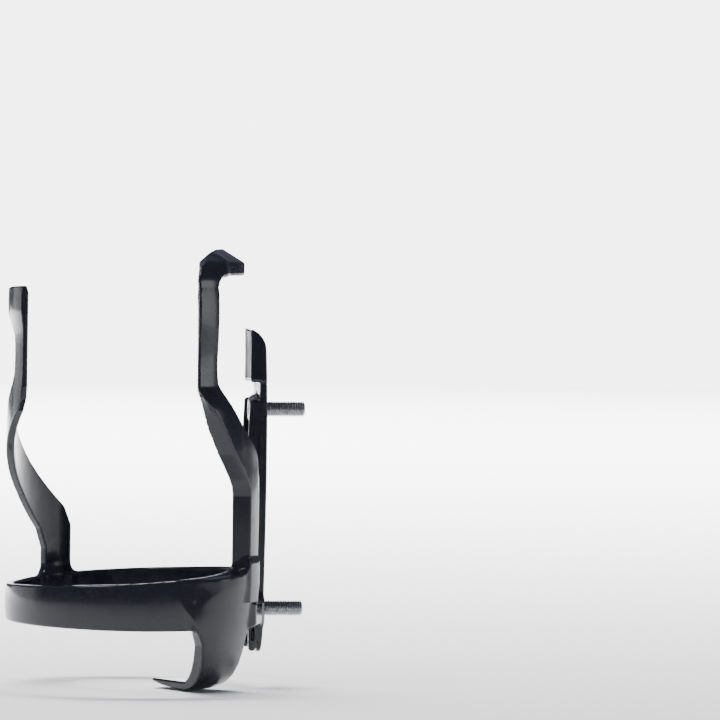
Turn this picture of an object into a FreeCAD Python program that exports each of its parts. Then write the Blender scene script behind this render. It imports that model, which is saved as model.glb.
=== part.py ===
"""Side-loading bottle cage for a bicycle frame.

The moulding is drawn about the bottle's own axis: Z runs up the bottle, +Y points to the
bicycle frame and +X to the side that the bottle is loaded from.  Angles are measured round
that axis from +Y towards +X.  Every part is then placed so that the document's origin is
midway between the two frame bolts, on the face that bears on the frame.
"""
import FreeCAD, Part
import math
import os

import Sketcher

Vector = FreeCAD.Vector
Rotation = FreeCAD.Rotation
Placement = FreeCAD.Placement

# ---------------------------------------------------------------- driving dimensions (mm)
SIZES = {
    # moulding, measured from the bottle axis and from the underside of the foot
    "ring_inner": 37.3,        # the ring grips the bottle
    "band_outer": 40.0,        # crown of the band
    "band_edge": 39.2,         # band radius at its two edges
    "band_low": 20.5,
    "band_mid": 28.0,
    "band_top": 35.0,          # at the front; the band rises towards the plate
    "band_crest": 38.0,
    "band_span": 320.0,        # degrees, open behind for the lower bolt
    "cheek_outer": 43.3,       # thick corner that carries the rail and the leg
    "cheek_inner": 38.2,
    "cheek_low": 18.0,
    "cheek_top": 38.0,
    "cheek_middle": 45.0,      # degrees
    "cheek_span": 44.0,
    "leg_middle": 44.0,
    "leg_span": 30.0,
    "foot_thick": 3.2,
    "foot_reach": 11.0,        # distance left between the foot's tip and the axis
    # arms
    "arm_inner": 37.8,         # the arms and the saddle stand just clear of it
    "strip_outer": 39.6,       # outer radius of the thin upper part of the arms
    "rail_top": 62.0,
    "brace_top": 92.5,         # where the thick brace runs out into the thin strip
    "strip_top": 126.0,
    "hook_low": 132.0,
    "hook_top": 140.0,
    "hook_inner": 28.5,        # radius of the hook's lip, in the neck of the bottle
    "hook_outer": 37.6,
    "far_outer": 40.0,
    "far_top": 127.0,
    # backplate
    "plate_back": 42.2,        # bottle axis to the frame face
    "plate_thick": 2.2,
    "plate_half": 9.5,
    "plate_low": 11.0,
    "plate_top": 113.0,
    "rib_wide": 1.8,
    "rib_tall": 3.3,
    "rib_top": 92.0,
    "saddle_low": 97.0,
    "saddle_span": 28.0,
    "web_low": 20.5,
    "web_tall": 9.0,
    # bolts
    "bolt_low": 24.5,          # height of the lower bolt
    "bolt_space": 64.0,        # the usual distance between frame bosses
    "slot_half": 2.7,
    "slot_long": 12.0,
    "shank_radius": 2.5,       # M5
    "neck_radius": 2.3,        # plain part under the head
    "neck_past": 0.3,          # how far it reaches behind the plate
    "shank_long": 16.0,
    "head_radius": 4.75,
    "head_tall": 2.2,
    "head_flat": 2.6,          # radius of the flat round the socket
    "key_size": 3.0,           # socket across flats
    "key_deep": 1.6,
    "washer_radius": 5.0,
    "washer_bore": 2.65,
    "washer_thick": 0.5,
}

os.makedirs("parts", exist_ok=True)
doc = FreeCAD.newDocument("bottle_cage")
sheet = doc.addObject("Spreadsheet::Sheet", "dims")
for row, (alias, number) in enumerate(SIZES.items(), start=1):
    sheet.set("A%d" % row, alias)
    sheet.set("B%d" % row, str(number))
    sheet.setAlias("B%d" % row, alias)
doc.recompute()


class Size:
    """A length that knows both its value and the spreadsheet expression it comes from."""

    def __init__(self, value, text):
        self.value = value
        self.text = text

    def join(self, other, sign):
        other = size(other)
        value = {"+": self.value + other.value, "-": self.value - other.value,
                 "*": self.value * other.value}[sign]
        return Size(value, "(%s %s %s)" % (self.text, sign, other.text))

    def __add__(self, other):
        return self.join(other, "+")

    def __sub__(self, other):
        return self.join(other, "-")

    def __mul__(self, other):
        return self.join(other, "*")

    def __neg__(self):
        return self.join(-1, "*")


def size(what):
    """A Size from a sheet alias, a plain number or another Size."""
    if isinstance(what, Size):
        return what
    if isinstance(what, str):
        return Size(SIZES[what], "dims." + what)
    return Size(float(what), repr(float(what)))


def around(radius, degrees, zero=0.0):
    """Distance across the tangent plane at angle `zero` of a point on a cylinder."""
    return size(radius) * math.sin(math.radians(degrees - zero))


# ---------------------------------------------------------------- drawing helpers
def origin_plane(body, role):
    return next(item for item in body.Origin.OriginFeatures if item.Role == role)


def new_sketch(body, name, role, turn=0.0, lift=0.0):
    """A sketch on one of the body's origin planes, turned about its own vertical axis."""
    sketch = body.newObject("Sketcher::SketchObject", name)
    sketch.AttachmentSupport = [(origin_plane(body, role), "")]
    sketch.MapMode = "FlatFace"
    spin = Rotation(Vector(0, 1, 0), turn)
    sketch.AttachmentOffset = Placement(Vector(0, 0, size(lift).value), spin)
    if isinstance(lift, (str, Size)):
        sketch.setExpression("AttachmentOffset.Base.z", size(lift).text)
    return sketch


def bind(sketch, constraint, length):
    """Add a dimension to a sketch and drive it from the sheet."""
    index = sketch.addConstraint(constraint)
    sketch.setExpression("Constraints[%d]" % index, length.text)


def pin_point(sketch, edge, end, across, up):
    """Fix one end of an edge at a place measured from the sketch's origin."""
    for kind, length in (("DistanceX", size(across)), ("DistanceY", size(up))):
        bind(sketch, Sketcher.Constraint(kind, -1, 1, edge, end, length.value), length)


def draw_outline(sketch, points):
    """Closed outline of straight edges whose corners are all dimensioned."""
    points = [(size(across), size(up)) for across, up in points]
    places = [Vector(across.value, up.value, 0) for across, up in points]
    edges = [sketch.addGeometry(Part.LineSegment(start, end), False)
             for start, end in zip(places, places[1:] + places[:1])]
    for corner, (edge, (across, up)) in enumerate(zip(edges, points)):
        sketch.addConstraint(Sketcher.Constraint("Coincident", edges[corner - 1], 2, edge, 1))
        pin_point(sketch, edge, 1, across, up)


def draw_slot(sketch, middle, half_wide, long):
    """Upright slot with round ends, centred on the sketch's vertical axis."""
    middle, half_wide, long = size(middle), size(half_wide), size(long)
    reach = long * 0.5 - half_wide
    top, low = middle + reach, middle - reach
    wide = half_wide.value
    upper = Part.Circle(Vector(0, top.value, 0), Vector(0, 0, 1), wide)
    lower = Part.Circle(Vector(0, low.value, 0), Vector(0, 0, 1), wide)
    cap = sketch.addGeometry(Part.ArcOfCircle(upper, 0, math.pi), False)
    left = sketch.addGeometry(Part.LineSegment(Vector(-wide, top.value, 0),
                                               Vector(-wide, low.value, 0)), False)
    cup = sketch.addGeometry(Part.ArcOfCircle(lower, math.pi, 2 * math.pi), False)
    right = sketch.addGeometry(Part.LineSegment(Vector(wide, low.value, 0),
                                                Vector(wide, top.value, 0)), False)
    pairs = ((cap, 2, left, 1), (left, 2, cup, 1), (cup, 2, right, 1), (right, 2, cap, 1))
    for first, first_end, second, second_end in pairs:
        sketch.addConstraint(Sketcher.Constraint("Tangent", first, first_end, second, second_end))
    sketch.addConstraint(Sketcher.Constraint("PointOnObject", cap, 3, -2))
    sketch.addConstraint(Sketcher.Constraint("PointOnObject", cup, 3, -2))
    bind(sketch, Sketcher.Constraint("Radius", cap, wide), half_wide)
    for arc, height in ((cap, top), (cup, low)):
        bind(sketch, Sketcher.Constraint("DistanceY", -1, 1, arc, 3, height.value), height)


def revolve(body, name, points, middle, span):
    """Turn a (radius, height) outline about Z, evenly to both sides of the angle `middle`."""
    sketch = new_sketch(body, name + "_section", "XZ_Plane", turn=90.0 - middle)
    draw_outline(sketch, points)
    feature = body.newObject("PartDesign::Revolution", name)
    feature.Profile = (sketch, [""])
    feature.ReferenceAxis = (sketch, ["V_Axis"])
    feature.Midplane = True
    feature.Angle = size(span).value
    feature.setExpression("Angle", size(span).text)
    body.Tip = feature
    return feature


def pad(body, name, sketch, length, backwards=False):
    feature = body.newObject("PartDesign::Pad", name)
    feature.Profile = (sketch, [""])
    feature.Length = size(length).value
    feature.setExpression("Length", size(length).text)
    feature.Reversed = backwards
    body.Tip = feature
    return feature


def pocket(body, name, sketch, length):
    """Cut to both sides of the sketch, and make sure that something was cut away."""
    doc.recompute()
    before = body.Shape.Volume
    feature = body.newObject("PartDesign::Pocket", name)
    feature.Profile = (sketch, [""])
    feature.Midplane = True
    feature.Length = size(length).value
    feature.setExpression("Length", size(length).text)
    body.Tip = feature
    doc.recompute()
    if body.Shape.Volume >= before - 1.0:
        raise RuntimeError("%s cuts nothing" % name)
    return feature


def new_body(name, back="plate_back", up=None):
    """A body drawn about the bottle axis and placed against the frame bolts."""
    body = doc.addObject("PartDesign::Body", name)
    body.Label = name
    up = size("bolt_low") + size("bolt_space") * 0.5 if up is None else size(up)
    body.Placement = Placement(Vector(0, -size(back).value, -up.value), Rotation())
    body.setExpression("Placement.Base.y", (-size(back)).text)
    body.setExpression("Placement.Base.z", (-up).text)
    return body


# ---------------------------------------------------------------- fixed half of the moulding
def make_cage_frame():
    body = new_body("cage_frame")
    ring, crown, edge = size("ring_inner"), size("band_outer"), size("band_edge")
    low, top, crest = size("band_low"), size("band_top"), size("band_crest")
    revolve(body, "band", [(ring, low), (edge, low), (crown, "band_mid"), (edge, top),
                           (edge, crest), (ring, crest)], 180.0, "band_span")
    slope = new_sketch(body, "band_slope", "YZ_Plane")
    draw_outline(slope, [(-crown - 2, crest + 5), (-crown - 2, top), (-13, top), (12, crest),
                         (12, crest + 5)])
    pocket(body, "band_upper_edge", slope, crown * 3)
    taper = new_sketch(body, "band_taper", "YZ_Plane")
    draw_outline(taper, [(-crown - 2, low - 5), (-crown - 2, low + 4), (-crown + 1, low + 2.2),
                         (-crown + 6, low + 0.8), (-crown + 18, low), (-crown + 18, low - 5)])
    pocket(body, "band_lower_edge", taper, crown * 3)

    corner, inner = size("cheek_outer"), size("cheek_inner")
    cheek_low, cheek_top = size("cheek_low"), size("cheek_top")
    revolve(body, "cheek", [(ring, cheek_low), (corner - 1.8, cheek_low),
                            (corner - 0.5, cheek_low + 6), (corner, cheek_top),
                            (inner, cheek_top), (ring, cheek_top - 3)],
            size("cheek_middle").value, "cheek_span")

    thick, reach = size("foot_thick"), size("foot_reach")
    revolve(body, "leg", [(reach, thick - 1.4), (ring - 14, 0.2), (ring - 6.8, 0.6),
                          (ring - 2.4, 3), (ring + 0.6, 7.5), (ring + 2.4, 13),
                          (corner - 1.8, cheek_low), (ring, cheek_low), (ring - 1.7, 14),
                          (ring - 4.0, 8), (ring - 7.4, thick + 0.4), (ring - 9, thick),
                          (reach, thick)],
            size("leg_middle").value, "leg_span")

    half, foot, head = size("plate_half"), size("plate_low"), size("plate_top")
    back, thickness = size("plate_back"), size("plate_thick")
    outline = new_sketch(body, "plate_outline", "XZ_Plane", lift=-back)
    draw_outline(outline, [(-half, foot + 2), (-half + 2, foot), (half - 2, foot),
                           (half, foot + 2), (half, head - 7), (half - 5, head),
                           (-half + 5, head), (-half, head - 7)])
    pad(body, "plate", outline, thickness)

    rib, rib_top = size("rib_wide"), size("rib_top")
    for side, name in ((1.0, "near_rib"), (-1.0, "far_rib")):
        strip = new_sketch(body, name + "_outline", "XZ_Plane", lift=-back + thickness)
        draw_outline(strip, [(half * side, foot + 3), (half * side, rib_top),
                             ((half - rib) * side, rib_top), ((half - rib) * side, foot + 3)])
        pad(body, name, strip, "rib_tall")

        web = new_sketch(body, name + "_web_outline", "XY_Plane", lift="web_low")
        draw_outline(web, [((half - rib) * side, back), ((half + 3) * side, back - 0.6),
                           ((half + 8.5) * side, ring + 0.7), ((half + 5.1) * side, ring - 2.4),
                           ((half - rib) * side, back - thickness - 1)])
        pad(body, name + "_web", web, "web_tall")

    saddle, rest = size("saddle_low"), size("arm_inner")
    revolve(body, "saddle", [(rest, saddle), (back - 0.6, saddle), (back - 0.6, head - 5),
                             (rest + 2.5, head), (rest, head - 2)], 0.0, "saddle_span")

    slots = new_sketch(body, "slots_outline", "XZ_Plane", lift=-back)
    bolt_low = size("bolt_low")
    for height in (bolt_low, bolt_low + size("bolt_space")):
        draw_slot(slots, height, "slot_half", "slot_long")
    pocket(body, "slots", slots, thickness * 3)
    return body


# ---------------------------------------------------------------- springing arms
def cut_to_outline(body, name, middle, outline):
    """Keep only what lies inside an outline drawn on the tangent plane at `middle`."""
    sketch = new_sketch(body, name + "_outline", "XZ_Plane", turn=-middle)
    side, floor, ceiling = 60.0, -5.0, 160.0       # a frame clear of every arm
    draw_outline(sketch, [(-side, floor), (side, floor), (side, ceiling), (-side, ceiling)])
    draw_outline(sketch, outline)
    right_through = 110.0
    pocket(body, name, sketch, right_through)


def make_near_arm():
    """Upright rail, slanting brace, thin strip and a hook that points back to the plate."""
    body = new_body("near_arm")
    root, rail, brace = size("cheek_top"), size("rail_top"), size("brace_top")
    corner, thin, inner = size("cheek_outer"), size("strip_outer"), size("arm_inner")
    top, low, crest = size("strip_top"), size("hook_low"), size("hook_top")
    lip, hook = size("hook_inner"), size("hook_outer")
    middle = 46.0
    revolve(body, "near_shell",
            [("cheek_inner", root), (corner, root), (corner, rail + 12), (corner - 0.9, brace - 6),
             (thin + 1.9, brace), (thin, brace + 4.5), (thin, top), (hook, low + 1),
             (hook, low + 3.3), (lip + 1.1, crest), (lip, crest - 1), (lip + 0.3, crest - 3),
             (inner - 6.0, low + 2.8), (inner - 3.2, low + 0.8), (inner - 1.4, low - 1.4),
             (inner - 0.3, top + 2.6), (inner, top), (inner, brace + 4), ("cheek_inner", rail)],
            middle, 56.0)

    def place(degrees, height, radius=41.0):
        return around(radius, degrees, middle), size(height)

    cut_to_outline(body, "near_outline", middle, [
        place(25.3, root - 1, 43), place(35.5, root - 1, 42), place(35.5, rail, 42),
        place(39.0, rail + 4), place(48.5, brace - 17), place(62.5, brace - 0.5, 40),
        place(64.0, brace + 3, 39.5), place(64.0, top, 39.5), place(60.0, low + 2.5, 37),
        place(46.0, low + 6.6, 32), place(36.0, crest + 0.6, 30), place(24.0, crest + 0.6, 34),
        place(25.0, low, 36), place(42.0, low - 0.4, 38), place(48.0, low - 2.4, 39),
        place(51.8, top - 1, 39.5), place(51.6, brace + 5.5, 39.5), place(46.4, brace),
        place(28.2, rail + 14, 43), place(25.3, rail + 10, 43)])
    return body


def make_far_arm():
    """The arm that comes round behind the bottle; its root stands on the band."""
    body = new_body("far_arm")
    root, brace, top = size("band_top"), size("brace_top"), size("far_top")
    outer, inner = size("far_outer"), size("arm_inner")
    middle = 200.0
    revolve(body, "far_shell", [(inner, root), (outer, root), (outer, top - 1), (outer - 0.8, top),
                                (inner, top)], middle, 100.0)

    def place(degrees, height, radius=39.0):
        return around(radius, degrees, middle), size(height)

    cut_to_outline(body, "far_outline", middle, [
        place(244.0, root - 1), place(244.0, root + 16), place(225.0, brace - 28.5),
        place(195.0, brace - 10.5), place(169.5, brace + 5), place(168.5, brace + 9),
        place(168.5, top - 15), place(177.0, top - 8.5), place(203.0, top - 7),
        place(206.0, top - 5), place(205.0, top - 1.5), place(165.0, top + 1),
        place(158.8, top - 1), place(157.0, top - 4), place(157.0, brace - 3.5),
        place(186.0, brace - 19.5), place(208.0, brace - 33), place(222.0, root + 15),
        place(227.0, root + 9), place(228.0, root - 1)])
    return body


# ---------------------------------------------------------------- frame bolts and washers
def turned(body, name, points):
    """Revolve a (radius, y) outline about the bolt's own axis."""
    sketch = new_sketch(body, name + "_section", "XY_Plane")
    draw_outline(sketch, points)
    feature = body.newObject("PartDesign::Revolution", name)
    feature.Profile = (sketch, [""])
    feature.ReferenceAxis = (sketch, ["V_Axis"])
    feature.Angle = 360.0
    body.Tip = feature
    return feature


def bolt_height(raised):
    return size("bolt_space") * (0.5 if raised else -0.5)


def make_washer(name, raised):
    body = new_body(name, up=-bolt_height(raised))
    back = size("plate_back") - size("plate_thick")
    face = back - size("washer_thick")
    turned(body, "ring", [("washer_bore", face), ("washer_radius", face),
                          ("washer_radius", back), ("washer_bore", back)])
    return body


def make_bolt(name, raised):
    """Button-head M5 screw with a hexagon socket, its thread standing out behind the plate."""
    body = new_body(name, up=-bolt_height(raised))
    shank, head = size("shank_radius"), size("head_radius")
    neck, behind = size("neck_radius"), size("plate_back") + "neck_past"
    under = size("plate_back") - size("plate_thick") - size("washer_thick")
    front, tip = under - size("head_tall"), under + size("shank_long")
    turned(body, "shank_and_head", [
        (0, front), ("head_flat", front), (head - 0.75, front + 0.8), (head, front + 1.8),
        (head, under), (neck, under), (neck, behind), (shank, behind), (shank, tip - 0.6),
        (shank - 0.6, tip), (0, tip)])
    socket = new_sketch(body, "socket_outline", "XZ_Plane", lift=-front)
    corner_radius = size("key_size") * (0.5 / math.cos(math.radians(30)))
    corners = [math.radians(60 * step) for step in range(6)]
    draw_outline(socket, [(corner_radius * math.cos(angle), corner_radius * math.sin(angle))
                          for angle in corners])
    pocket(body, "socket", socket, size("key_deep") * 2)
    return body


make_cage_frame()
make_near_arm()
make_far_arm()
for level, raised in (("upper", True), ("lower", False)):
    make_washer(level + "_washer", raised)
    make_bolt(level + "_bolt", raised)

# ---------------------------------------------------------------- check and export
doc.recompute()
for item in doc.Objects:
    if "Invalid" in item.State or "Error" in item.State:
        raise RuntimeError("%s failed: %s" % (item.Name, item.State))
for body in doc.findObjects("PartDesign::Body"):
    shape = body.Shape
    if shape.isNull() or not shape.isValid() or len(shape.Solids) != 1:
        raise RuntimeError("%s is not one valid solid" % body.Label)
    shape.exportStep("parts/%s.step" % body.Label)
    print("%-14s %8.1f mm3" % (body.Label, shape.Volume))
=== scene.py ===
"""Looks of the side-loading bottle cage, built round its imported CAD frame."""
import math

import bmesh
import bpy
import numpy as np
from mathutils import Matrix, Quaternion, Vector


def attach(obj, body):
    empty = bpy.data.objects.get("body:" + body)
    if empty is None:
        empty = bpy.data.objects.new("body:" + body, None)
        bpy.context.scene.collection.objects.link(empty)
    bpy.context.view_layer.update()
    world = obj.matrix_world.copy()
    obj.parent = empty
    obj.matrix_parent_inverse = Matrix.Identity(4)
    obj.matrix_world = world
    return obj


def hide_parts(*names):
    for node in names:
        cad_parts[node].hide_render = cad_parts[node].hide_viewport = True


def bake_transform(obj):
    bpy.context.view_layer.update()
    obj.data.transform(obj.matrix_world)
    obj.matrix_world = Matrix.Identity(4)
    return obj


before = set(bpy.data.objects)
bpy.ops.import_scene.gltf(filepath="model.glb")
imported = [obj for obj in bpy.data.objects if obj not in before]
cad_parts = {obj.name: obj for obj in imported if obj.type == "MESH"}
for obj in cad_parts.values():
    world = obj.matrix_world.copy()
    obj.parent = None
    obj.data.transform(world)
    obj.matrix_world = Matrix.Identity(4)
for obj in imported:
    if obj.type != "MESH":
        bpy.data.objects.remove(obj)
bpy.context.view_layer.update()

# The moulding is shaped in millimetres about the bottle's axis: x to the loading side, y to
# the bicycle frame, z up from the underside of the foot.  Angles run from +y towards +x.
MM = 0.001
AXIS_Y = -42.2             # the bottle's axis in the row frame
FOOT_Z = -56.5             # the foot's underside in the row frame
WRAP = 40.0                # radius at which angles are turned into lengths
PER_DEGREE = WRAP * math.pi / 180
FAR_OFF = 9.0              # value of a field well outside its piece
CELL = 0.55                # spacing of the grid that the moulding is meshed on

BAND_INNER, BAND_OUTER = 37.3, 39.9
RAIL_OUTER = 43.3          # radius of the outside of the cheek and of the rail above it
CLEARANCE = 0.45           # air between the bottle and the thick parts
BELLY = 0.45               # how much the band's outside bulges between its edges
PLATE_FACE = 40.0          # how far behind the bottle's axis the washers' seat is
BOLT_OFF = 32.0            # height of the bolts above and below the row frame's origin
SLOT_RADIUS, SLOT_HALF = 2.7, 3.3


# ---------------------------------------------------------------- field building blocks
def smoothstep(low, high, value):
    t = np.clip((value - low) / (high - low), 0.0, 1.0)
    return t * t * (3.0 - 2.0 * t)


def curve(*stations):
    """A smooth function through (input, output) stations, held level past the ends."""
    at, out = np.array(stations, float).T
    slope = np.gradient(out, at)
    slope[[0, -1]] = 0.0
    fine = np.linspace(at[0], at[-1], 600)
    left = np.clip(np.searchsorted(at, fine, side="right") - 1, 0, len(at) - 2)
    span = at[left + 1] - at[left]
    t = (fine - at[left]) / span
    table = (out[left] * (1 + 2 * t) * (1 - t) ** 2 + out[left + 1] * t * t * (3 - 2 * t)
             + span * t * (1 - t) * (slope[left] * (1 - t) - slope[left + 1] * t))
    return lambda value: np.interp(value, fine, table)


def merge(a, b, fillet):
    """Union of two fields with a fillet between them."""
    overlap = np.maximum(fillet - np.abs(a - b), 0.0) / fillet
    return np.minimum(a, b) - overlap * overlap * fillet * 0.25


def keep_both(a, b, edge):
    """Where both fields hold, with its outer edge rounded to that radius."""
    u, v = np.maximum(a + edge, 0.0), np.maximum(b + edge, 0.0)
    return np.hypot(u, v) + np.minimum(np.maximum(a, b), -edge)


def cut_away(a, hole, edge):
    return keep_both(a, -hole, edge)


def strap(ends, half, across, up):
    """Distance outside a straight strap between two ends."""
    (x0, z0), (x1, z1) = ends
    dx, dz = x1 - x0, z1 - z0
    along = np.clip(((across - x0) * dx + (up - z0) * dz) / (dx * dx + dz * dz), 0.0, 1.0)
    return np.hypot(across - x0 - along * dx, up - z0 - along * dz) - half


def outline(corners, across, up):
    """Signed distance to a closed outline of straight sides."""
    inside = np.zeros(across.shape, bool)
    nearest = np.full(across.shape, np.inf)
    for (x0, z0), (x1, z1) in zip(corners, corners[1:] + corners[:1]):
        dx, dz = x1 - x0, z1 - z0
        along = np.clip(((across - x0) * dx + (up - z0) * dz) / (dx * dx + dz * dz), 0, 1)
        np.minimum(nearest, np.hypot(across - x0 - along * dx, up - z0 - along * dz),
                   out=nearest)
        if dz:
            crosses = (z0 > up) != (z1 > up)
            inside ^= crosses & (across < x0 + (up - z0) * dx / dz)
    return np.where(inside, -nearest, nearest)


def slab(value, low, high):
    return np.maximum(low - value, value - high)


def where_near(mask, points, field):
    """Work a field out only where it can matter."""
    result = np.full(len(points), FAR_OFF)
    if mask.any():
        result[mask] = field(points[mask])
    return result


def polar(points):
    """Radius, angle from 0 to 360 degrees and height."""
    x, y, z = points.T
    return np.hypot(x, y), np.degrees(np.arctan2(x, y)) % 360.0, z


# ---------------------------------------------------------------- the bottle's own surface
BOTTLE_FLOOR = 3.3
bottle_radius = curve((3, 28.6), (4.5, 30.2), (6.5, 31.6), (9.5, 33.0), (13.5, 34.3),
                      (18, 35.4), (24, 36.2), (33, 36.8), (60, 36.8), (124, 36.8),
                      (127.5, 36.5), (130, 35.7), (132, 34.2), (134, 31.6), (136, 29.0),
                      (138, 27.7), (142, 27.6))
_heights = np.linspace(0, 150, 600)
_lean = np.hypot(1.0, np.gradient(bottle_radius(_heights), _heights))


def bottle_gap(radius, z):
    """Distance outside the bottle that the cage is shaped to."""
    side = (radius - bottle_radius(z)) / np.interp(z, _heights, _lean)
    return np.maximum(side, BOTTLE_FLOOR - z)


# ---------------------------------------------------------------- pieces of the moulding
def unrolled(corners, angle, z):
    """Field of an outline given as (angle, height) corners round the bottle."""
    return outline([(a * PER_DEGREE, h) for a, h in corners], angle * PER_DEGREE, z)


band_top = curve((0, 38.6), (38, 38.2), (48, 37.0), (58, 36.2), (70, 35.7), (82, 35.2),
                 (96, 34.6), (112, 34.2), (130, 33.4), (154, 32.8), (172, 32.3), (190, 32.0),
                 (206, 32.0), (232, 33.0), (300, 35.4), (345, 36.8))
band_bottom = curve((20, 20.0), (72, 19.8), (99, 19.9), (128, 20.2), (154, 20.4), (172, 20.5),
                    (196, 20.6), (230, 21.0), (300, 21.4), (345, 21.0))


def band(points):
    radius, angle, z = polar(points)
    top, bottom = band_top(angle), band_bottom(angle)
    belly = (2 * z - top - bottom) / (top - bottom)
    wall = keep_both(radius - BAND_OUTER + BELLY * belly * belly, BAND_INNER - radius, 0.6)
    edges = slab(z, bottom, top)
    ends = (np.abs(angle - 180.0) - 160.0) * PER_DEGREE
    return keep_both(keep_both(wall, edges, 0.7), ends, 1.0)


CHEEK_OUTLINE = [(25.3, 41.0), (34.0, 41.0), (35.2, 38.8), (38.6, 37.5), (46.0, 36.8),
                 (58.0, 36.0), (71.0, 35.4), (74.0, 30.5), (68.0, 25.0), (63.6, 20.6),
                 (59.6, 15.0), (58.4, 8.0), (57.0, -4.0), (30.5, -4.0), (29.0, 8.0),
                 (28.6, 17.0), (27.0, 22.5), (24.4, 28.0), (24.2, 38.0)]
leg_outer = curve((0, 31.0), (2, 33.6), (4, 35.9), (7, 37.8), (11, 39.3), (16, 40.5),
                  (20, 41.4), (26, 42.5), (32, RAIL_OUTER), (60, RAIL_OUTER))
FOOT_REACH = 11.5          # how near the foot comes to the bottle's axis
foot_under = curve((8, 2.6), (16, 1.2), (24, 0.3), (36, 0.3))


def cheek(points):
    """Thick corner below the rail, running down into the leg and the foot."""
    radius, angle, z = polar(points)
    face = unrolled(CHEEK_OUTLINE, angle, z)
    # the cheek thins forwards, and its upper part sinks into the band
    forward = RAIL_OUTER - 2.9 * smoothstep(41, 76, angle)
    forward -= 2.2 * smoothstep(48, 74, angle) * smoothstep(17, 34, z)
    outer = merge(leg_outer(z), forward, 0.1 + 2.6 * (1.0 - smoothstep(26, 36, z)))
    shell = keep_both(radius - outer, foot_under(radius) - z, 2.2)
    shell = keep_both(shell, CLEARANCE - bottle_gap(radius, z), 0.5)
    shell = keep_both(shell, FOOT_REACH - radius, 1.0)
    return keep_both(shell, face * np.minimum(radius / WRAP, 1.0), 0.7)


NEAR_OUTLINE = [(63.4, 136.0), (63.4, 95.2), (61.0, 92.4), (54.7, 86.5), (45.5, 75.1),
                (37.0, 67.0), (34.9, 64.6), (34.3, 62.0), (34.3, 28.0), (25.3, 28.0),
                (25.3, 62.0), (26.0, 73.0), (28.6, 76.4), (38.2, 82.6), (46.0, 90.6),
                (51.2, 97.0), (51.8, 99.5), (51.8, 127.6), (51.2, 129.4), (49.8, 130.9),
                (47.8, 131.9), (45.0, 132.4), (45.0, 136.0)]
FRONT_LEAN = 0.55          # how far the arm's front face slopes forward for each mm of depth
LIP_OUTER = 37.6
near_outer = curve((30, RAIL_OUTER), (70, RAIL_OUTER), (84, 42.8), (91, 41.7), (96.5, 39.6),
                   (100, 39.4), (127.4, 39.4), (128.6, 39.2), (133.6, LIP_OUTER),
                   (135, 37.3), (142, 36.6))
front_cut = curve((118, 10.0), (124, 16.3), (130.5, 17.4), (133, 17.9), (136.6, 19.1),
                  (139.2, 22.9), (140.5, 26.0))
arm_inner = curve((30, 38.2), (62, 38.2), (90, 37.3), (96, 36.9), (110, 35.0), (142, 24.0))
lip_slope = curve((25, 0.58), (36, 0.62), (47, 0.75), (56, 0.84), (64, 0.88))


def near_arm(points):
    """Rail, brace, strip and hook on the loading side."""
    radius, angle, z = polar(points)
    clear = CLEARANCE - bottle_gap(radius, z)
    crown = (z - 135.4 + lip_slope(angle) * (radius - LIP_OUTER)) / 1.16
    shell = keep_both(radius - near_outer(z), np.maximum(arm_inner(z) - radius, clear), 0.45)

    # the front face slopes with depth, and the back face is square to the bottle
    sides = [(a * PER_DEGREE, h) for a, h in NEAR_OUTLINE]
    depth = np.clip(near_outer(z) - radius, 0.0, 6.0)
    across = angle * PER_DEGREE
    forward = smoothstep(-1.5, 1.5, across - np.interp(z, [66, 94], [20.8, 40.2]))
    lean = FRONT_LEAN - (FRONT_LEAN + 0.2) * smoothstep(84.0, 97.0, z)
    face = outline(sides, across - lean * depth * forward, z)
    arm = keep_both(keep_both(shell, face, 0.45), crown, 0.8)

    # hook: a thick lip over the shoulder, its edge cut along a chord of the neck
    facet = 0.42 * np.maximum(z - 129.5, 0.0) * smoothstep(38.0, 52.0, angle)
    lip = keep_both((radius - LIP_OUTER + facet) / 1.08, crown, 0.6)
    lip = keep_both(lip, slab(z, 131.3, 140.2), 0.7)
    lip = keep_both(lip, clear, 0.5)
    x, y = points[:, 0], points[:, 1]
    chord = -0.387 * (x - 32.0) - 0.922 * (y - 18.5)
    ends = slab(angle, 25.0, 63.4) * math.radians(1) * radius
    lip = keep_both(keep_both(lip, chord, 0.7), ends, 0.9)
    skew = 0.35 * np.maximum(x - 27.0, 0.0) * smoothstep(133.5, 137.0, z)
    return keep_both(merge(arm, lip, 4.5), front_cut(z) + skew - y, 0.6)


FAR_OUTLINE = [(157.0, 125.4), (159.0, 127.2), (185.0, 126.4), (203.0, 125.6), (205.2, 123.6),
               (204.6, 119.6), (202.4, 118.2), (185.0, 118.0), (176.5, 116.2), (169.4, 111.5),
               (168.5, 108.5), (168.5, 99.6), (171.0, 96.4), (195.0, 82.0), (225.0, 64.0),
               (240.0, 55.0), (244.0, 49.0), (244.0, 26.0), (228.0, 26.0), (228.0, 41.5),
               (224.0, 48.0), (208.0, 59.5), (186.0, 73.0), (161.0, 87.5), (157.6, 91.6),
               (157.0, 95.5)]
FAR_INNER = 37.4
far_outer = curve((30, 40.1), (60, 40.0), (90, 39.7), (97, 39.3), (112, 39.2), (120, 39.9),
                  (128, 39.8))


def far_arm(points):
    """The thinner arm on the side away from the way in."""
    radius, angle, z = polar(points)
    shell = keep_both(radius - far_outer(z), FAR_INNER - radius, 0.45)
    return keep_both(shell, unrolled(FAR_OUTLINE, angle, z), 0.45)


PLATE_HALF = 9.5
plate_back = curve((9, 41.5), (12, 41.7), (18, 42.1), (24, 42.2), (104, 42.2), (114, 41.8))
rib_front = curve((10, 37.4), (30, 36.9), (60, 36.6), (80, 36.5), (91, 36.9))


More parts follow.
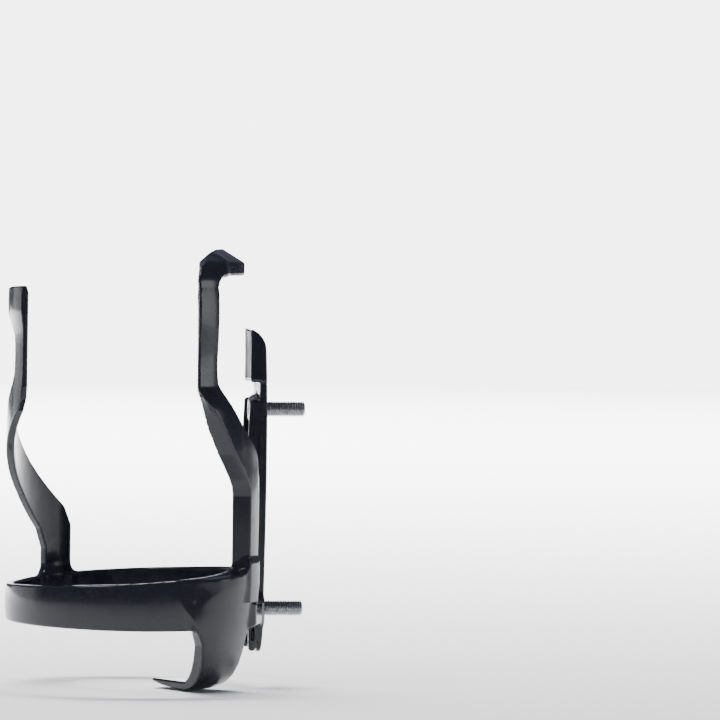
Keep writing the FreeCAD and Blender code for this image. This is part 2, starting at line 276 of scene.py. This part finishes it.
def plate(points):
    """Mounting plate with its two ribs, the saddle at its top, the slots and a groove."""
    x, y, z = points.T
    radius = np.hypot(x, y)
    side = np.abs(x)
    face = keep_both(side - PLATE_HALF, slab(z, 11.0, 113.6), 4.0)
    back = y - plate_back(z)
    sheet = keep_both(back, PLATE_FACE - y, 0.5)
    sheet = keep_both(sheet, face, 0.7)
    rib = keep_both(rib_front(z) - y, back + 2.0, 0.5)
    rib = keep_both(rib, slab(side, 7.6, PLATE_HALF), 0.6)
    rib = keep_both(rib, slab(z, 11.3, 92.0), 1.2)
    body = merge(sheet, rib, 0.8)
    saddle = keep_both(back, 0.5 - bottle_gap(radius, z), 0.6)
    saddle = keep_both(saddle, slab(z, 97.2, 140.0), 0.7)
    saddle = keep_both(saddle, side - PLATE_HALF, 0.8)
    body = merge(body, saddle, 0.4)
    # the top rolls over towards the bottle
    body = keep_both(body, keep_both(back, z - 114.6, 7.0), 0.3)
    for height in (-FOOT_Z - BOLT_OFF, -FOOT_Z + BOLT_OFF):
        slot = np.hypot(x, np.maximum(np.abs(z - height) - SLOT_HALF, 0.0)) - SLOT_RADIUS
        body = cut_away(body, slot, 0.35)
    groove = np.maximum.reduce([8.9 - x, np.abs(y - 38.7) - 0.4, np.abs(z - 17.8) - 2.8])
    return cut_away(body, groove, 0.15)


def web(points, start, end, low, high):
    """Bridge between the end of the ring and one edge of the plate."""
    x, y, z = points.T
    bridge = keep_both(strap((start, end), 2.1, x, y), slab(z, low, high), 1.2)
    return keep_both(bridge, 0.5 - bottle_gap(np.hypot(x, y), z), 0.5)


def moulding(points):
    """Signed field of the whole moulding, negative inside the plastic."""
    radius, angle, z = polar(points)
    low = z < 47
    near_side = (angle > 12) & (angle < 84)
    ring = where_near(low & (z > 12) & (radius > 31), points, band)
    corner = where_near(low & near_side, points, cheek)
    body = merge(ring, corner, 1.6)
    arm = where_near((z > 28) & near_side & (radius > 20), points, near_arm)
    body = merge(body, arm, 2.2)
    far = where_near((z > 26) & (angle > 146) & (angle < 255) & (radius > 31), points, far_arm)
    body = merge(body, far, 4.0)
    at_plate = (points[:, 1] > 30) & (np.abs(points[:, 0]) < 26)
    back = where_near(at_plate, points, plate)
    near_web = where_near(at_plate & low, points,
                          lambda p: web(p, (18.5, 36.9), (8.9, 39.9), 20.0, 28.0))
    far_web = where_near(at_plate & low, points,
                         lambda p: web(p, (-14.8, 36.2), (-8.9, 39.9), 22.0, 35.0))
    back = merge(merge(back, near_web, 2.5), far_web, 2.5)
    return merge(body, back, 1.6)


# ---------------------------------------------------------------- meshing
def slopes(field, points, step=0.02):
    """Direction in which the field grows, and its steepness."""
    grad = np.empty_like(points)
    for axis in range(3):
        shift = np.zeros(3)
        shift[axis] = step
        grad[:, axis] = field(points + shift) - field(points - shift)
    return grad / (2 * step)


def sample_grid(field, low, high, cell):
    """Field values on a regular grid, exact only near the surface."""
    block = 4
    counts = np.ceil((high - low) / (cell * block)).astype(int)
    centres = np.indices(counts).reshape(3, -1).T * block + block / 2
    rough = field(low + centres * cell)
    close = np.abs(rough) < 1.25 * cell * block
    values = np.repeat(np.repeat(np.repeat(rough.reshape(counts), block, 0), block, 1),
                       block, 2)
    mask = np.repeat(np.repeat(np.repeat(close.reshape(counts), block, 0), block, 1), block, 2)
    spots = np.argwhere(mask)
    values[mask] = field(low + spots * cell)
    return values


def surface(field, low, high, cell):
    """Quads over the surface of a field: one vertex in each grid cell that it crosses."""
    values = sample_grid(field, low, high, cell)
    inside = values < 0
    shape = np.array(inside.shape) - 1
    corner = [(i, j, k) for i in (0, 1) for j in (0, 1) for k in (0, 1)]

    def shifted(array, i, j, k):
        return array[i:i + shape[0], j:j + shape[1], k:k + shape[2]]

    filled = sum(shifted(inside, *c).astype(np.uint8) for c in corner)
    cells = np.argwhere((filled > 0) & (filled < 8))
    number = np.full(shape, -1, np.int64)
    number[tuple(cells.T)] = np.arange(len(cells))
    total, hits = np.zeros((len(cells), 3)), np.zeros(len(cells))
    for first in corner:
        for axis in range(3):
            if first[axis]:
                continue
            second = tuple(1 if n == axis else c for n, c in enumerate(first))
            a = values[tuple((cells + first).T)]
            b = values[tuple((cells + second).T)]
            cross = (a < 0) != (b < 0)
            t = np.where(cross, a / np.where(cross, a - b, 1.0), 0.0)
            spot = np.array(first, float) + np.outer(t, np.eye(3)[axis])
            total += spot * cross[:, None]
            hits += cross
    points = low + (cells + total / hits[:, None]) * cell
    faces = []
    for axis in range(3):
        u, v = [(axis + 1) % 3, (axis + 2) % 3]
        ahead = np.roll(inside, -1, axis)
        edges = np.argwhere(inside != ahead)
        edges = edges[(edges[:, axis] < shape[axis]) & (edges[:, u] > 0) & (edges[:, v] > 0)
                      & (edges[:, u] < shape[u]) & (edges[:, v] < shape[v])]
        ring = []
        for du, dv in ((-1, -1), (0, -1), (0, 0), (-1, 0)):
            cell_at = edges.copy()
            cell_at[:, u] += du
            cell_at[:, v] += dv
            ring.append(number[tuple(cell_at.T)])
        quad = np.stack(ring, 1)
        leaving = inside[tuple(edges.T)]
        quad[~leaving] = quad[~leaving][:, ::-1]
        faces.append(quad)
    for _ in range(4):
        grad = slopes(field, points)
        steep = np.maximum((grad * grad).sum(1), 0.05)
        move = grad * (field(points) / steep)[:, None]
        points -= np.clip(move, -0.3 * cell, 0.3 * cell)
    return points, np.concatenate(faces)


def to_row(points):
    """From millimetres about the bottle to metres in the row frame."""
    return (points + np.array([0.0, AXIS_Y, FOOT_Z])) * MM


def smooth_mesh(name, points, faces, normals):
    """An object made of some faces of a larger surface, shaded with the surface's normals."""
    used, faces = np.unique(faces, return_inverse=True)
    faces = faces.reshape(-1, 4)
    mesh = bpy.data.meshes.new(name)
    mesh.from_pydata(to_row(points[used]).tolist(), [], faces.tolist())
    mesh.shade_smooth()
    mesh.normals_split_custom_set_from_vertices(normals[used].tolist())
    piece = bpy.data.objects.new(name, mesh)
    bpy.context.scene.collection.objects.link(piece)
    return piece


NEAR_CUT = 39.8            # height at which the near arm's mesh meets the fixed part
FAR_CUT = 37.0

low = np.array([-44.0, -44.0, -2.0])
high = np.array([47.0, 48.0, 143.0])
points, faces = surface(moulding, low, high, CELL)
normals = slopes(moulding, points)
normals /= np.linalg.norm(normals, axis=1)[:, None]
middle = points[faces].mean(1)
_, turn, height = polar(middle)
# the arms' faces: those above the cuts and round about each arm
is_near = (height > NEAR_CUT) & (turn > 14) & (turn < 80) & (middle[:, 0] > 12)
is_far = (height > FAR_CUT) & (turn > 140) & (turn < 260)

moulded_frame = smooth_mesh("moulded_frame", points, faces[~is_near & ~is_far], normals)
moulded_near = smooth_mesh("moulded_near_arm", points, faces[is_near], normals)
moulded_far = smooth_mesh("moulded_far_arm", points, faces[is_far], normals)


def row_point(degrees, radius, z):
    a = math.radians(degrees)
    return Vector(to_row(np.array([radius * math.sin(a), radius * math.cos(a), z])))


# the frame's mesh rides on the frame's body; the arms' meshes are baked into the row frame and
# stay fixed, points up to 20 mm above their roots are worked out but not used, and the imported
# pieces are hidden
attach(moulded_frame, "frame")
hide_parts("cage_frame")
row_point(29, 41, 41)
row_point(29, 41, 62)
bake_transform(moulded_near)
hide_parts("near_arm")
row_point(237, 39, 38)
row_point(237, 39, 60)
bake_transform(moulded_far)
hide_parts("far_arm")

# ---------------------------------------------------------------- bolts and washers
def turned(name, rings, flat_from=None):
    """A closed piece turned about the bolt's axis from rings of (y, radius of each spoke)."""
    count = len(rings[0][1])
    spokes = np.arange(count) * 2 * math.pi / count
    verts, quads = [], []
    for y, radii in rings:
        verts += [(r * math.cos(a), y, r * math.sin(a)) for r, a in zip(radii, spokes)]
    rows = range(len(rings)) if flat_from is None else range(len(rings) - 1)
    for row in rows:
        here, there = row * count, (row + 1) % len(rings) * count
        for k in range(count):
            ahead = (k + 1) % count
            quads.append((here + k, here + ahead, there + ahead, there + k))
    if flat_from is not None:
        quads.append(tuple(range(count))[::-1])
        quads.append(tuple(range((len(rings) - 1) * count, len(rings) * count)))
    mesh = bpy.data.meshes.new(name)
    mesh.from_pydata([tuple(c * MM for c in v) for v in verts], [], quads)
    clean = bmesh.new()
    clean.from_mesh(mesh)
    bmesh.ops.recalc_face_normals(clean, faces=clean.faces)
    clean.to_mesh(mesh)
    clean.free()
    mesh.shade_smooth()
    mesh.set_sharp_from_angle(angle=math.radians(32))
    piece = bpy.data.objects.new(name, mesh)
    bpy.context.scene.collection.objects.link(piece)
    return piece


SPOKES = 72
PLATE_FRONT = -2.2         # the row frame's Y of the face that the washers lie on
WASHER = 0.5
SLACK = 0.02               # air left between faces that bear on each other
HEAD_RADIUS, HEAD_TALL = 4.75, 2.2
KEY_HALF, KEY_DEEP = 1.5, 1.6
PITCH, THREAD_DEEP, SHANK = 0.8, 0.42, 2.5


def round_ring(y, radius):
    return y, np.full(SPOKES, float(radius))


def key_ring(y, half_width):
    """Ring with the hexagonal outline of the key."""
    spoke = (np.arange(SPOKES) * 360.0 / SPOKES) % 60.0 - 30.0
    return y, half_width / np.cos(np.radians(spoke))


def thread_ring(y, swell=1.0):
    turn = np.arange(SPOKES) / SPOKES
    tooth = np.abs(((y / PITCH + turn) % 1.0) * 2 - 1)
    depth = THREAD_DEEP * np.clip(tooth * 1.3 - 0.15, 0.0, 1.0)
    return y, (SHANK - depth) * swell


def bolt(name, height):
    under = PLATE_FRONT - WASHER
    front, tip = under - HEAD_TALL, under + 16.0
    rings = [key_ring(front + KEY_DEEP, 0.9), key_ring(front + KEY_DEEP, KEY_HALF),
             key_ring(front + 0.25, KEY_HALF), key_ring(front + 0.04, KEY_HALF + 0.16),
             round_ring(front, 2.15), round_ring(front, 2.6)]
    for step in range(1, 9):
        t = step / 8
        rings.append(round_ring(front + 1.75 * (1 - math.cos(t * 1.35)) / (1 - math.cos(1.35)),
                                2.6 + (HEAD_RADIUS - 2.6) * math.sin(t * 1.35) / math.sin(1.35)))
    rings += [round_ring(under - 0.08, HEAD_RADIUS), round_ring(under, HEAD_RADIUS - 0.1),
              round_ring(under, 2.3), round_ring(0.25, 2.3)]
    first = 0.45
    for y in np.arange(first, tip - 0.3, PITCH / 8):
        rings.append(thread_ring(y, min(1.0, 0.92 + (y - first) * 0.4)))
    rings += [round_ring(tip - 0.28, 2.05), round_ring(tip, 1.75)]
    piece = turned(name, rings, flat_from=0)
    piece.location.z = height * MM
    return piece


def washer(name, height):
    back, front = PLATE_FRONT - SLACK, PLATE_FRONT - WASHER + SLACK
    profile = [(front, 2.75), (front, 4.85), (front + 0.08, 4.97), (back - 0.1, 5.0),
               (back, 4.9), (back, 2.75), (back - 0.1, 2.65), (front + 0.1, 2.65)]
    piece = turned(name, [round_ring(y, radius) for y, radius in profile])
    piece.location.z = height * MM
    return piece


hardware = []
for level, height in (("upper", BOLT_OFF), ("lower", -BOLT_OFF)):
    for make, kind, slot in ((bolt, "bolt", "bolt_steel"), (washer, "washer", "washer_steel")):
        node = level + "_" + kind
        piece = make(node + "_detail", height)
        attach(piece, node)
        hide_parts(node)
        hardware.append(piece)

# ---------------------------------------------------------------- materials
class Socket:
    """A value in a shader, so that its sums can be written as they are read."""

    tree = None

    def __init__(self, output):
        self.output = output

    @classmethod
    def node(cls, kind, settings=None, out=0, **inputs):
        """A new node's output; inputs go by name, or by place as _0, _1 and so on."""
        made = cls.tree.nodes.new(kind)
        for key, value in (settings or {}).items():
            setattr(made, key, value)
        for key, value in inputs.items():
            place = made.inputs[int(key[1:])] if key[1:].isdigit() else made.inputs[
                key.replace("_", " ")]
            if isinstance(value, Socket):
                cls.tree.links.new(value.output, place)
            else:
                place.default_value = value
        return cls(made.outputs[out])

    def maths(self, how, other=0.0, third=0.0):
        return Socket.node("ShaderNodeMath", {"operation": how}, _0=self, _1=other, _2=third)

    def __add__(self, other):
        return self.maths("ADD", other)

    def __sub__(self, other):
        return self.maths("SUBTRACT", other)

    def __mul__(self, other):
        return self.maths("MULTIPLY", other)

    __radd__, __rmul__ = __add__, __mul__

    def __rsub__(self, other):
        return self * -1.0 + other

    def between(self, low, high, to_low=0.0, to_high=1.0):
        """Smoothly from one value to another as this one goes from low to high."""
        return Socket.node("ShaderNodeMapRange", {"interpolation_type": "SMOOTHSTEP"}, _0=self,
                           _1=low, _2=high, _3=to_low, _4=to_high)

    def mix(self, none, full):
        """Colour that runs from one to another as this value goes from 0 to 1."""
        return Socket.node("ShaderNodeMix", {"data_type": "RGBA"}, out=2, _0=self, _6=none,
                           _7=full)


POINTINESS = 7             # its place among the Geometry node's outputs


def grain(where, per_metre, detail=2.0, rough=0.5, squash=None):
    if squash:
        where = Socket.node("ShaderNodeVectorMath", {"operation": "MULTIPLY"}, _0=where,
                            _1=squash)
    return Socket.node("ShaderNodeTexNoise", Vector=where, Scale=per_metre, Detail=detail,
                       Roughness=rough)


def material(name, **plain):
    made = bpy.data.materials.new(name)
    made.use_nodes = True
    Socket.tree = made.node_tree
    shader = made.node_tree.nodes["Principled BSDF"]
    for key, value in plain.items():
        shader.inputs[key.replace("_", " ")].default_value = value
    where = Socket.node("ShaderNodeTexCoord", out=3)
    return made, shader, where


def feed(shader, **varying):
    for key, value in varying.items():
        Socket.tree.links.new(value.output, shader.inputs[key.replace("_", " ")])


def bumped(height, strength, distance, under=None):
    more = {"Normal": under} if under else {}
    return Socket.node("ShaderNodeBump", Height=height, Strength=strength, Distance=distance,
                       **more)


def gloss_black_nylon():
    """Gloss moulding: faint flow marks, fine grain, rubbed edges and hairline scuffs."""
    made, shader, where = material("gloss_black_nylon", IOR=1.42, Coat_Roughness=0.05)
    flow = grain(where, 55.0, 3.0, squash=(1.0, 1.0, 0.35))
    fine = grain(where, 2600.0, 2.0)
    cloud = grain(where, 170.0, 4.0, 0.6)
    hair = grain(where, 900.0, 1.0, squash=(1.0, 1.0, 14.0)).between(0.66, 0.74)
    specks = grain(where, 4200.0, 0.0).between(0.74, 0.80)
    edge = Socket.node("ShaderNodeNewGeometry", out=POINTINESS).between(0.515, 0.60)
    rubbed = edge * cloud.between(0.42, 0.62)
    tone = flow.between(0.3, 0.7).mix((0.0065, 0.0075, 0.0125, 1), (0.0090, 0.0100, 0.0155, 1))
    tone = (rubbed * 0.5).mix(tone, (0.045, 0.047, 0.055, 1))
    tone = (specks * 0.1).mix(tone, (0.16, 0.16, 0.17, 1))
    rough = 0.15 + cloud.between(0.35, 0.75) * 0.09 + rubbed * 0.12 + hair * 0.10
    normal = bumped(flow, 0.10, 0.002)
    normal = bumped(fine, 0.015, 0.00003, normal)
    normal = bumped(hair, 0.03, 0.00003, normal)
    feed(shader, Base_Color=tone, Roughness=rough, Normal=normal,
         Coat_Weight=0.2 - rubbed * 0.15)
    return made


def turned_steel(name, colour, dark):
    """Stainless steel with turning marks round the bolt's axis and dulled patches."""
    made, shader, where = material(name, IOR=2.5)
    split = Socket.node("ShaderNodeSeparateXYZ", _0=where)
    x, z = split, Socket(split.output.node.outputs[2])
    radius = (x * x + z * z).maths("POWER", 0.5)
    lines = (radius * 26000.0 + grain(where, 900.0) * 5.0).maths("SINE")
    patch = grain(where, 420.0, 4.0, 0.6)
    scratch = grain(where, 1500.0, 1.0, squash=(1.0, 9.0, 1.0)).between(0.64, 0.72)
    feed(shader, Base_Color=patch.between(0.35, 0.7).mix(colour, dark),
         Roughness=0.24 + patch.between(0.4, 0.8) * 0.16 + scratch * 0.12,
         Metallic=1.0 - scratch * 0.1,
         Normal=bumped(scratch, 0.15, 0.00003, bumped(lines, 0.12, 0.00002)))
    return made


def pale_paper():
    made, shader, where = material("pale_paper")
    fibre = grain(where, 900.0, 3.0)
    feed(shader, Base_Color=fibre.mix((0.83, 0.83, 0.845, 1), (0.86, 0.86, 0.875, 1)),
         Roughness=fibre.between(0.3, 0.7, 0.75, 0.85),
         Normal=bumped(fibre, 0.05, 0.0002))
    return made


nylon = gloss_black_nylon()
for piece in (moulded_frame, moulded_near, moulded_far):
    piece.data.materials.append(nylon)
bolt_steel = turned_steel("bolt_steel", (0.50, 0.50, 0.51, 1), (0.36, 0.36, 0.38, 1))
washer_steel = turned_steel("washer_steel", (0.58, 0.58, 0.59, 1), (0.42, 0.42, 0.44, 1))
for piece in hardware:
    piece.data.materials.append(bolt_steel if "bolt" in piece.name else washer_steel)

# ---------------------------------------------------------------- stage, light and camera
def softbox(name, place, aim, wide, tall, watts, spread=180):
    lamp = bpy.data.lights.new(name, "AREA")
    lamp.shape = "RECTANGLE"
    lamp.size, lamp.size_y, lamp.energy = wide, tall, watts
    lamp.spread = math.radians(spread)
    holder = bpy.data.objects.new(name, lamp)
    holder.location = place
    holder.rotation_euler = (Vector(aim) - Vector(place)).to_track_quat("-Z", "Y").to_euler()
    bpy.context.scene.collection.objects.link(holder)
    return holder


softbox("side_light", (0.62, 1.30, 0.10), (0, 0, 0.03), 0.55, 0.6, 3.2)
softbox("left_light", (-0.80, -1.20, 0.06), (0, 0, 0), 1.2, 0.6, 2.2)
softbox("top_light", (0.45, -0.70, 1.10), (0, 0, 0), 0.6, 0.35, 8.0)
floor_light = softbox("floor_light", (-1.7, 0.2, 2.3), (-1.9, 0.2, 0), 3.2, 2.0, 300, 96)
floor_light.visible_glossy = False         # it lights the floor and the edges, with no glare

world = bpy.data.worlds.new("studio")
bpy.context.scene.world = world
world.use_nodes = True
Socket.tree = world.node_tree
# a bright backdrop beyond the cage in a dim room
BACKDROP_TOWARDS = (-0.991, 0.131, -0.028)
ahead = Socket.node("ShaderNodeVectorMath", {"operation": "DOT_PRODUCT"}, out=1,
                    _0=Socket.node("ShaderNodeTexCoord"), _1=BACKDROP_TOWARDS)
glow = ahead.between(0.975, 0.992).mix((0.16, 0.17, 0.21, 1), (5.3, 5.3, 5.4, 1))
world.node_tree.links.new(glow.output, world.node_tree.nodes["Background"].inputs["Color"])

floor_mesh = bpy.data.meshes.new("floor")
FLOOR_FAR, FLOOR_NEAR, FLOOR_HALF = -2.9, 0.9, 1.2
floor_mesh.from_pydata([(FLOOR_FAR, -FLOOR_HALF, 0), (FLOOR_NEAR, -FLOOR_HALF, 0),
                        (FLOOR_NEAR, FLOOR_HALF, 0), (FLOOR_FAR, FLOOR_HALF, 0)], [],
                       [(0, 1, 2, 3)])
floor = bpy.data.objects.new("floor", floor_mesh)
floor.location.z = FOOT_Z * MM - 0.0003
bpy.context.scene.collection.objects.link(floor)
floor_mesh.materials.append(pale_paper())

# camera: nearly level and looking past the cage, which stands in the left third of the view
EYE = Vector((1.6437, -0.1860, 0.0945))       # beside the cage and a little ahead of it
AIM = Vector((0.0063, 0.0302, 0.0482))        # a point 72 mm behind the bottle's axis
LENS = 258.0
ROLL = math.radians(0.85)
camera_data = bpy.data.cameras.new("camera")
camera_data.sensor_width = 36.0
camera_data.lens = LENS
camera_data.clip_end = 20.0
camera = bpy.data.objects.new("camera", camera_data)
camera.location = EYE
look = (AIM - EYE).to_track_quat("-Z", "Y")
camera.rotation_euler = (look @ Quaternion((0, 0, 1), ROLL)).to_euler()
bpy.context.scene.collection.objects.link(camera)
bpy.context.scene.camera = camera
